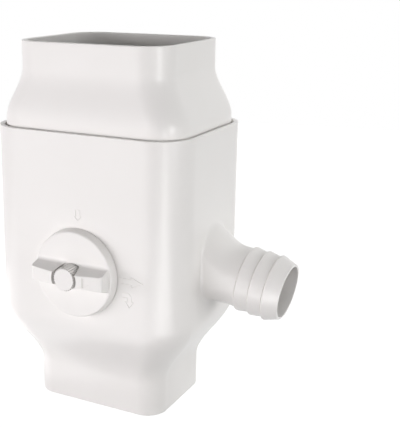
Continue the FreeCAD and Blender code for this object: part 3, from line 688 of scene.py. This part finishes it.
wing_levels = [(depth, 0) for depth in ROOT_LEVELS] + [(None, gap) for gap in FRONT_GAPS]
pointer_rings = []
for depth in (-POINTER_OVERCUT, POINTER_DEPTH):
    ring = []
    for x, z in ((POINTER_TAIL, -POINTER_HALF), (POINTER_TIP, 0), (POINTER_TAIL, POINTER_HALF)):
        ring.append((x, depth - DISC_FACE - wing_depth(x), AXIS_HEIGHT + z))
    pointer_rings.append(ring)
knob_shape = bmesh.new()
knob_shape.from_mesh(rings_to_mesh("knob_disc", disc_rings, closed=True))
for side in (1, -1):
    wing_rings = [wing_outline(side, *level) for level in wing_levels]
    wing = new_piece("wing", rings_to_mesh("wing", wing_rings, closed=False))
    if side == 1:
        cut_away(wing, rings_to_mesh("pointer", pointer_rings, closed=False))
    knob_shape.from_mesh(wing.data)
    bpy.data.objects.remove(wing)
knob = new_piece("knob_moulding")
knob_shape.to_mesh(knob.data)
knob_shape.free()
knob.data.materials.append(knob_pvc)
finish_shading(knob, sharp_degrees=35)
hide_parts("knob")
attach(knob, "valve")

# Flow marks: three plain arrows in thin raised lines on the front wall, which show where the water goes.
# They are cut into the mould, so they stand a few tenths of a millimetre proud in the body's own plastic.
LINE_RADIUS = 0.3
LINE_SIDES = 10
ARROWS = (
    [(-1.4, 140.5), (-1.4, 136.4), (-2.7, 136.4), (0.2, 133.8), (2.6, 136.4), (1.7, 136.4), (1.7, 140.5)],
    [(30.0, 101.2), (38.5, 101.2), (38.5, 102.6), (46.4, 99.4), (38.5, 96.2), (38.5, 97.6), (30.0, 97.6)],
    [(31.5, 91.6), (36.6, 91.6), (38.4, 89.8), (38.4, 86.4), (39.8, 86.4), (37.0, 82.6), (34.2, 86.4),
     (35.6, 86.4), (35.6, 88.8), (31.5, 88.8)],
)
mark_tree, mark_sockets, sizes = start_tree("raised_lines", ("line_radius",), "lines", follows="paths")
line_round = add_node(mark_tree, "GeometryNodeCurvePrimitiveCircle", {
    "Resolution": LINE_SIDES, "Radius": sizes["line_radius"],
})
tubes = add_node(mark_tree, "GeometryNodeCurveToMesh", {
    "Curve": sizes["paths"], "Profile Curve": line_round,
})
end_tree(mark_tree, tubes, sizes["plastic"])
paths = bpy.data.curves.new("arrow_paths", "CURVE")
paths.dimensions = "3D"
for arrow in ARROWS:
    path = paths.splines.new("POLY")
    path.points.add(len(arrow) - 1)
    for corner, (x, z) in zip(path.points, arrow):
        corner.co = (x * MM, (-BODY_FRONT - HAIR) * MM, z * MM, 1)
    path.use_cyclic_u = True
drawn_arrows = new_piece("arrow_paths", paths)
flow_marks = new_piece("flow_marks", grown_mesh(
    drawn_arrows, mark_tree, mark_sockets, white_pvc, line_radius=LINE_RADIUS,
))
bpy.data.objects.remove(drawn_arrows)
finish_shading(flow_marks, sharp_degrees=50)
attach(flow_marks, "housing")

# Studio: a ring of low softboxes round a pale floor, strongest at the front left, with two high ones behind.
# Gloss doesn't show them. It shows panels for the front walls and strips for the streaks along the corners.
# The floor is lifted to white for the camera and keeps the soft shadow.
AIR_LIGHT = 0.07
FLOOR_LIFT = 0.88
FLOOR_RADIUS = 1.1
FLOOR_SIDES = 96
WHITE = "#FFFFFF"
ROSE_WHITE = "#FFFCFE"
floor_paint = bpy.data.materials.new("white_studio_floor")
world = bpy.data.worlds.new("white_studio")
bpy.context.scene.world = world
strengths = []
for owner, lit, white in ((floor_paint, 0.0, FLOOR_LIFT), (world, AIR_LIGHT, 1.0)):
    owner.use_nodes = True
    tree = owner.node_tree
    tree.nodes.clear()
    rays = add_node(tree, "ShaderNodeLightPath").outputs
    shown = add_node(tree, MATH, {0: rays["Is Camera Ray"], 1: rays["Is Glossy Ray"]}, operation="MAXIMUM")
    shown = add_node(tree, MATH, {0: shown, 1: rays["Is Transmission Ray"]}, operation="MAXIMUM")
    strengths.append(add_node(tree, RANGE, {"Value": shown, "To Min": lit, "To Max": white}))
tree = floor_paint.node_tree
lift = add_node(tree, "ShaderNodeEmission", {"Color": linear(WHITE), "Strength": strengths[0]})
paint = add_node(tree, "ShaderNodeBsdfDiffuse", {"Color": linear("#A8A8A8")})
both = add_node(tree, "ShaderNodeAddShader", {0: paint, 1: lift})
add_node(tree, "ShaderNodeOutputMaterial", {"Surface": both})
tree = world.node_tree
air = add_node(tree, "ShaderNodeBackground", {"Color": linear(WHITE), "Strength": strengths[1]})
add_node(tree, "ShaderNodeOutputWorld", {"Surface": air})
turns = [2 * math.pi * i / FLOOR_SIDES for i in range(FLOOR_SIDES)]
floor_rim = [(FLOOR_RADIUS * math.cos(turn), FLOOR_RADIUS * math.sin(turn), 0) for turn in turns]
studio_floor = new_piece("studio_floor")
studio_floor.data.from_pydata(floor_rim, [], [range(FLOOR_SIDES)])
studio_floor.data.materials.append(floor_paint)


def softbox(name, place, turned, width, height, watts, colour):
    """An area lamp that no camera ray sees."""
    lamp = bpy.data.lights.new(name + "_softbox", "AREA")
    lamp.shape = "RECTANGLE"
    lamp.size = width
    lamp.size_y = height
    lamp.energy = watts
    lamp.color = linear(colour)[:3]
    stand = new_piece(name + "_softbox", lamp)
    stand.location = place
    stand.rotation_euler = turned
    stand.visible_camera = False
    return stand


# Low and high softboxes: distance, middle's height, width and height in metres
LOW = (1.6, 0.21, 1.3, 0.4)
HIGH = (1.1, 1.3, 0.8, 0.8)
AIMED_AT = Vector((0, 0, 0.12))

# Each softbox: degrees from the front to the right, its stand, watts and colour
for name, degrees, (distance, rise, width, height), watts, colour in (
    ("left", -90, LOW, 3.6, ROSE_WHITE),
    ("front_left", -45, LOW, 13.0, ROSE_WHITE),
    ("front", 0, LOW, 8.4, ROSE_WHITE),
    ("front_right", 45, LOW, 3.2, WHITE),
    ("right", 90, LOW, 9.9, WHITE),
    ("rear", 180, LOW, 5.0, WHITE),
    ("high_right", 130, HIGH, 5.0, WHITE),
    ("high_rear", 180, HIGH, 7.6, WHITE),
):
    turn = math.radians(degrees)
    place = Vector((distance * math.sin(turn), -distance * math.cos(turn), rise))
    aim = (AIMED_AT - place).to_track_quat("-Z", "Y").to_euler()
    softbox(name, place, aim, width, height, watts, colour).visible_glossy = False

# Each panel or strip: degrees from the front to the right, distance, middle's height, lean,
# width and length in metres, and watts for each square metre
LYING = math.pi
UPRIGHT = math.pi / 2
for name, degrees, distance, rise, lean, width, length, brightness in (
    ("lying_panel", -29, 0.48, 0.004, LYING, 0.5, 0.84, 4.4),
    ("standing_panel", -29, 0.91, 0.12, UPRIGHT, 0.8, 0.22, 5.6),
    ("lying_strip", 43, 0.475, 0.005, LYING, 0.18, 0.55, 13),
    ("low_strip", 43, 0.76, 0.045, UPRIGHT, 0.18, 0.09, 14),
    ("high_strip", 66, 0.76, 0.2, UPRIGHT, 0.15, 0.22, 28),
):
    turn = math.radians(degrees)
    place = (distance * math.sin(turn), -distance * math.cos(turn), rise)
    watts = brightness * width * length
    softbox(name, place, (lean, 0, turn), width, length, watts, WHITE).visible_diffuse = False

# Camera: stands where the photograph was taken from, found by fitting the object's rims and edges.
# The lens is shifted, because the object stands at the left of the picture.
LOOKS_DOWN = math.radians(15.52)
LOOKS_LEFT = math.radians(28.96)
lens = bpy.data.cameras.new("photo_view")
lens.lens = 75.99
lens.shift_x = 0.1639
camera = new_piece("photo_view", lens)
camera.location = (0.2905, -0.5112, 0.2885)
camera.rotation_euler = (math.pi / 2 - LOOKS_DOWN, 0, LOOKS_LEFT)
bpy.context.scene.camera = camera
bpy.context.scene.view_settings.view_transform = "Standard"
